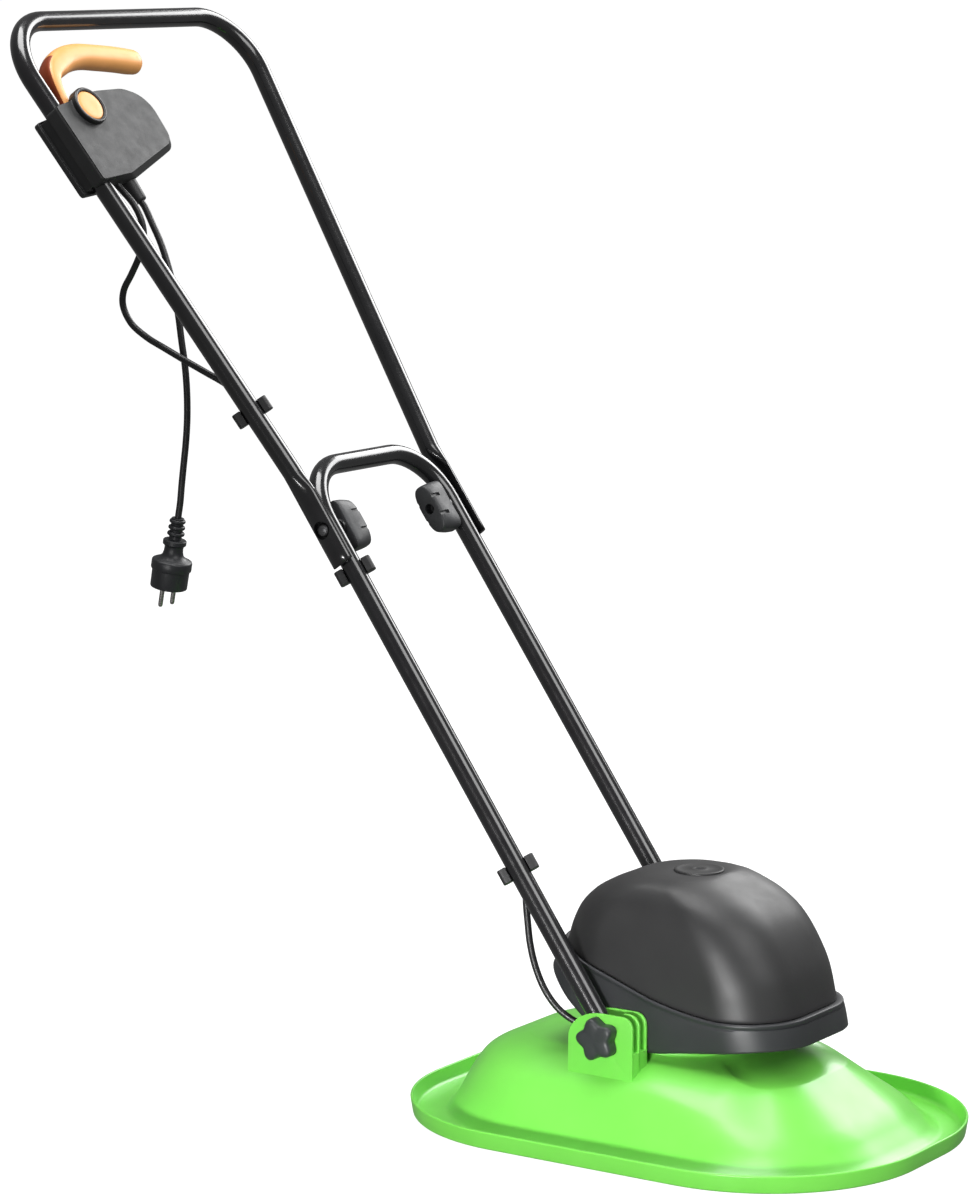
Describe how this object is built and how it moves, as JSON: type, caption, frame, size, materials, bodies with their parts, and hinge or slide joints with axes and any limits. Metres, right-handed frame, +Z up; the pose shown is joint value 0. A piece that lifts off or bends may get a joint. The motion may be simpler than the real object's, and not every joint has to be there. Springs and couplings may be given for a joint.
{
  "type": "electric hover mower",
  "caption": "Electric hover mower with a floating domed deck, motor hood, folding tube handle, lever switch box and hanging mains lead with plug.",
  "frame": {"origin": "on the ground, at the middle of the length and on the centre plane of the machine", "axes": "+X mowing direction, +Y operator left, +Z up"},
  "size_m": [0.9698, 0.4, 1.0675],
  "materials": {
    "deck_green": "glossy",
    "hood_black": "satin",
    "tube_black": "glossy",
    "knob_black": "satin",
    "knob_grey": "satin",
    "switch_grey": "fine texture",
    "lever_orange": "satin",
    "steel": "satin",
    "dark_bolt": "satin",
    "brass": "satin",
    "rubber": "matte",
    "aluminium": "cast",
    "dark_plastic": "matte",
    "pale_plastic": "matte",
    "copper": "satin"
  },
  "bodies": {
    "base": {"deck": "deck_green", "bracket_inserts": "brass", "hood_base": "hood_black", "hood_cover": "hood_black", "hood_cap": "hood_black", "hood_screw": "steel", "motor_plate": "aluminium", "plate_screws": "steel", "motor_tray": "dark_plastic", "tray_screws": "steel", "stator": "steel", "motor_bracket": "aluminium", "lower_bearing": "steel", "upper_bearing": "steel", "brush_holders": "brass", "carbon_brushes": "dark_plastic", "terminal_block": "pale_plastic", "cable_grommet": "rubber", "motor_cable_base": "rubber"},
    "rotor": {"shaft": "steel", "armature": "copper", "commutator": "copper", "impeller": "dark_plastic", "blade_spacer": "pale_plastic", "blade": "steel", "blade_washer": "steel", "blade_bolt": "steel"},
    "lower_handle": {"lower_handle": "tube_black", "cable_clips": "knob_black", "motor_cable_lower": "rubber"},
    "pivot_knob_right": {"pivot_knob_right": "knob_black", "pivot_stud_right": "steel"},
    "pivot_knob_left": {"pivot_knob_left": "knob_black", "pivot_stud_left": "steel"},
    "upper_handle": {"upper_handle": "tube_black", "upper_clip": "knob_black", "fold_bolts": "dark_bolt", "switch_housing": "switch_grey", "switch_cover": "switch_grey", "switch_screws": "steel", "lever_pin": "steel", "micro_switch": "dark_plastic", "capacitor": "pale_plastic", "lead_gland": "rubber", "mains_lead": "rubber", "plug_body": "rubber", "plug_pins": "brass", "motor_cable_upper": "rubber", "motor_cable_fold": "rubber"},
    "fold_knob_right": {"fold_knob_right": "knob_grey"},
    "fold_knob_left": {"fold_knob_left": "knob_grey"},
    "lever": {"switch_lever": "lever_orange"},
    "button": {"lock_button": "lever_orange"}
  },
  "joints": [
    {"name": "handle_pivot", "type": "hinge", "parent": "base", "child": "lower_handle", "pos_m": [0.18992, 0, 0.1045], "axis": [0, 1, 0], "range_deg": [-35, 30], "deforming": ["motor_cable_base"]},
    {"name": "handle_fold", "type": "hinge", "parent": "lower_handle", "child": "upper_handle", "pos_m": [-0.13335, 0, 0.56789], "axis": [0, 1, 0], "range_deg": [0, 150], "deforming": ["motor_cable_fold"]},
    {"name": "switch_lever_squeeze", "type": "hinge", "parent": "upper_handle", "child": "lever", "pos_m": [-0.41185, -0.15917, 0.96712], "axis": [0.8202, 0, 0.5721], "range_deg": [0, 8], "stiffness_Nm_per_rad": 6, "springref_deg": -5.73},
    {"name": "lock_button_press", "type": "slide", "parent": "upper_handle", "child": "button", "axis": [-0.8202, 0, -0.5721], "range_m": [0, 0.004], "stiffness_N_per_m": 400, "springref_m": -0.002},
    {"name": "pivot_knob_right_spin", "type": "hinge", "parent": "base", "child": "pivot_knob_right", "pos_m": [0.18992, -0.1053, 0.1045], "axis": [0, 1, 0], "continuous": true},
    {"name": "pivot_knob_left_spin", "type": "hinge", "parent": "base", "child": "pivot_knob_left", "pos_m": [0.18992, 0.1053, 0.1045], "axis": [0, 1, 0], "continuous": true},
    {"name": "fold_knob_right_spin", "type": "hinge", "parent": "upper_handle", "child": "fold_knob_right", "pos_m": [-0.13335, -0.1053, 0.56789], "axis": [0, 1, 0], "continuous": true},
    {"name": "fold_knob_left_spin", "type": "hinge", "parent": "upper_handle", "child": "fold_knob_left", "pos_m": [-0.13335, 0.1053, 0.56789], "axis": [0, 1, 0], "continuous": true},
    {"name": "blade_spin", "type": "hinge", "parent": "base", "child": "rotor", "pos_m": [0.21442, 0, 0.05], "axis": [0, 0, 1], "continuous": true}
  ]
}
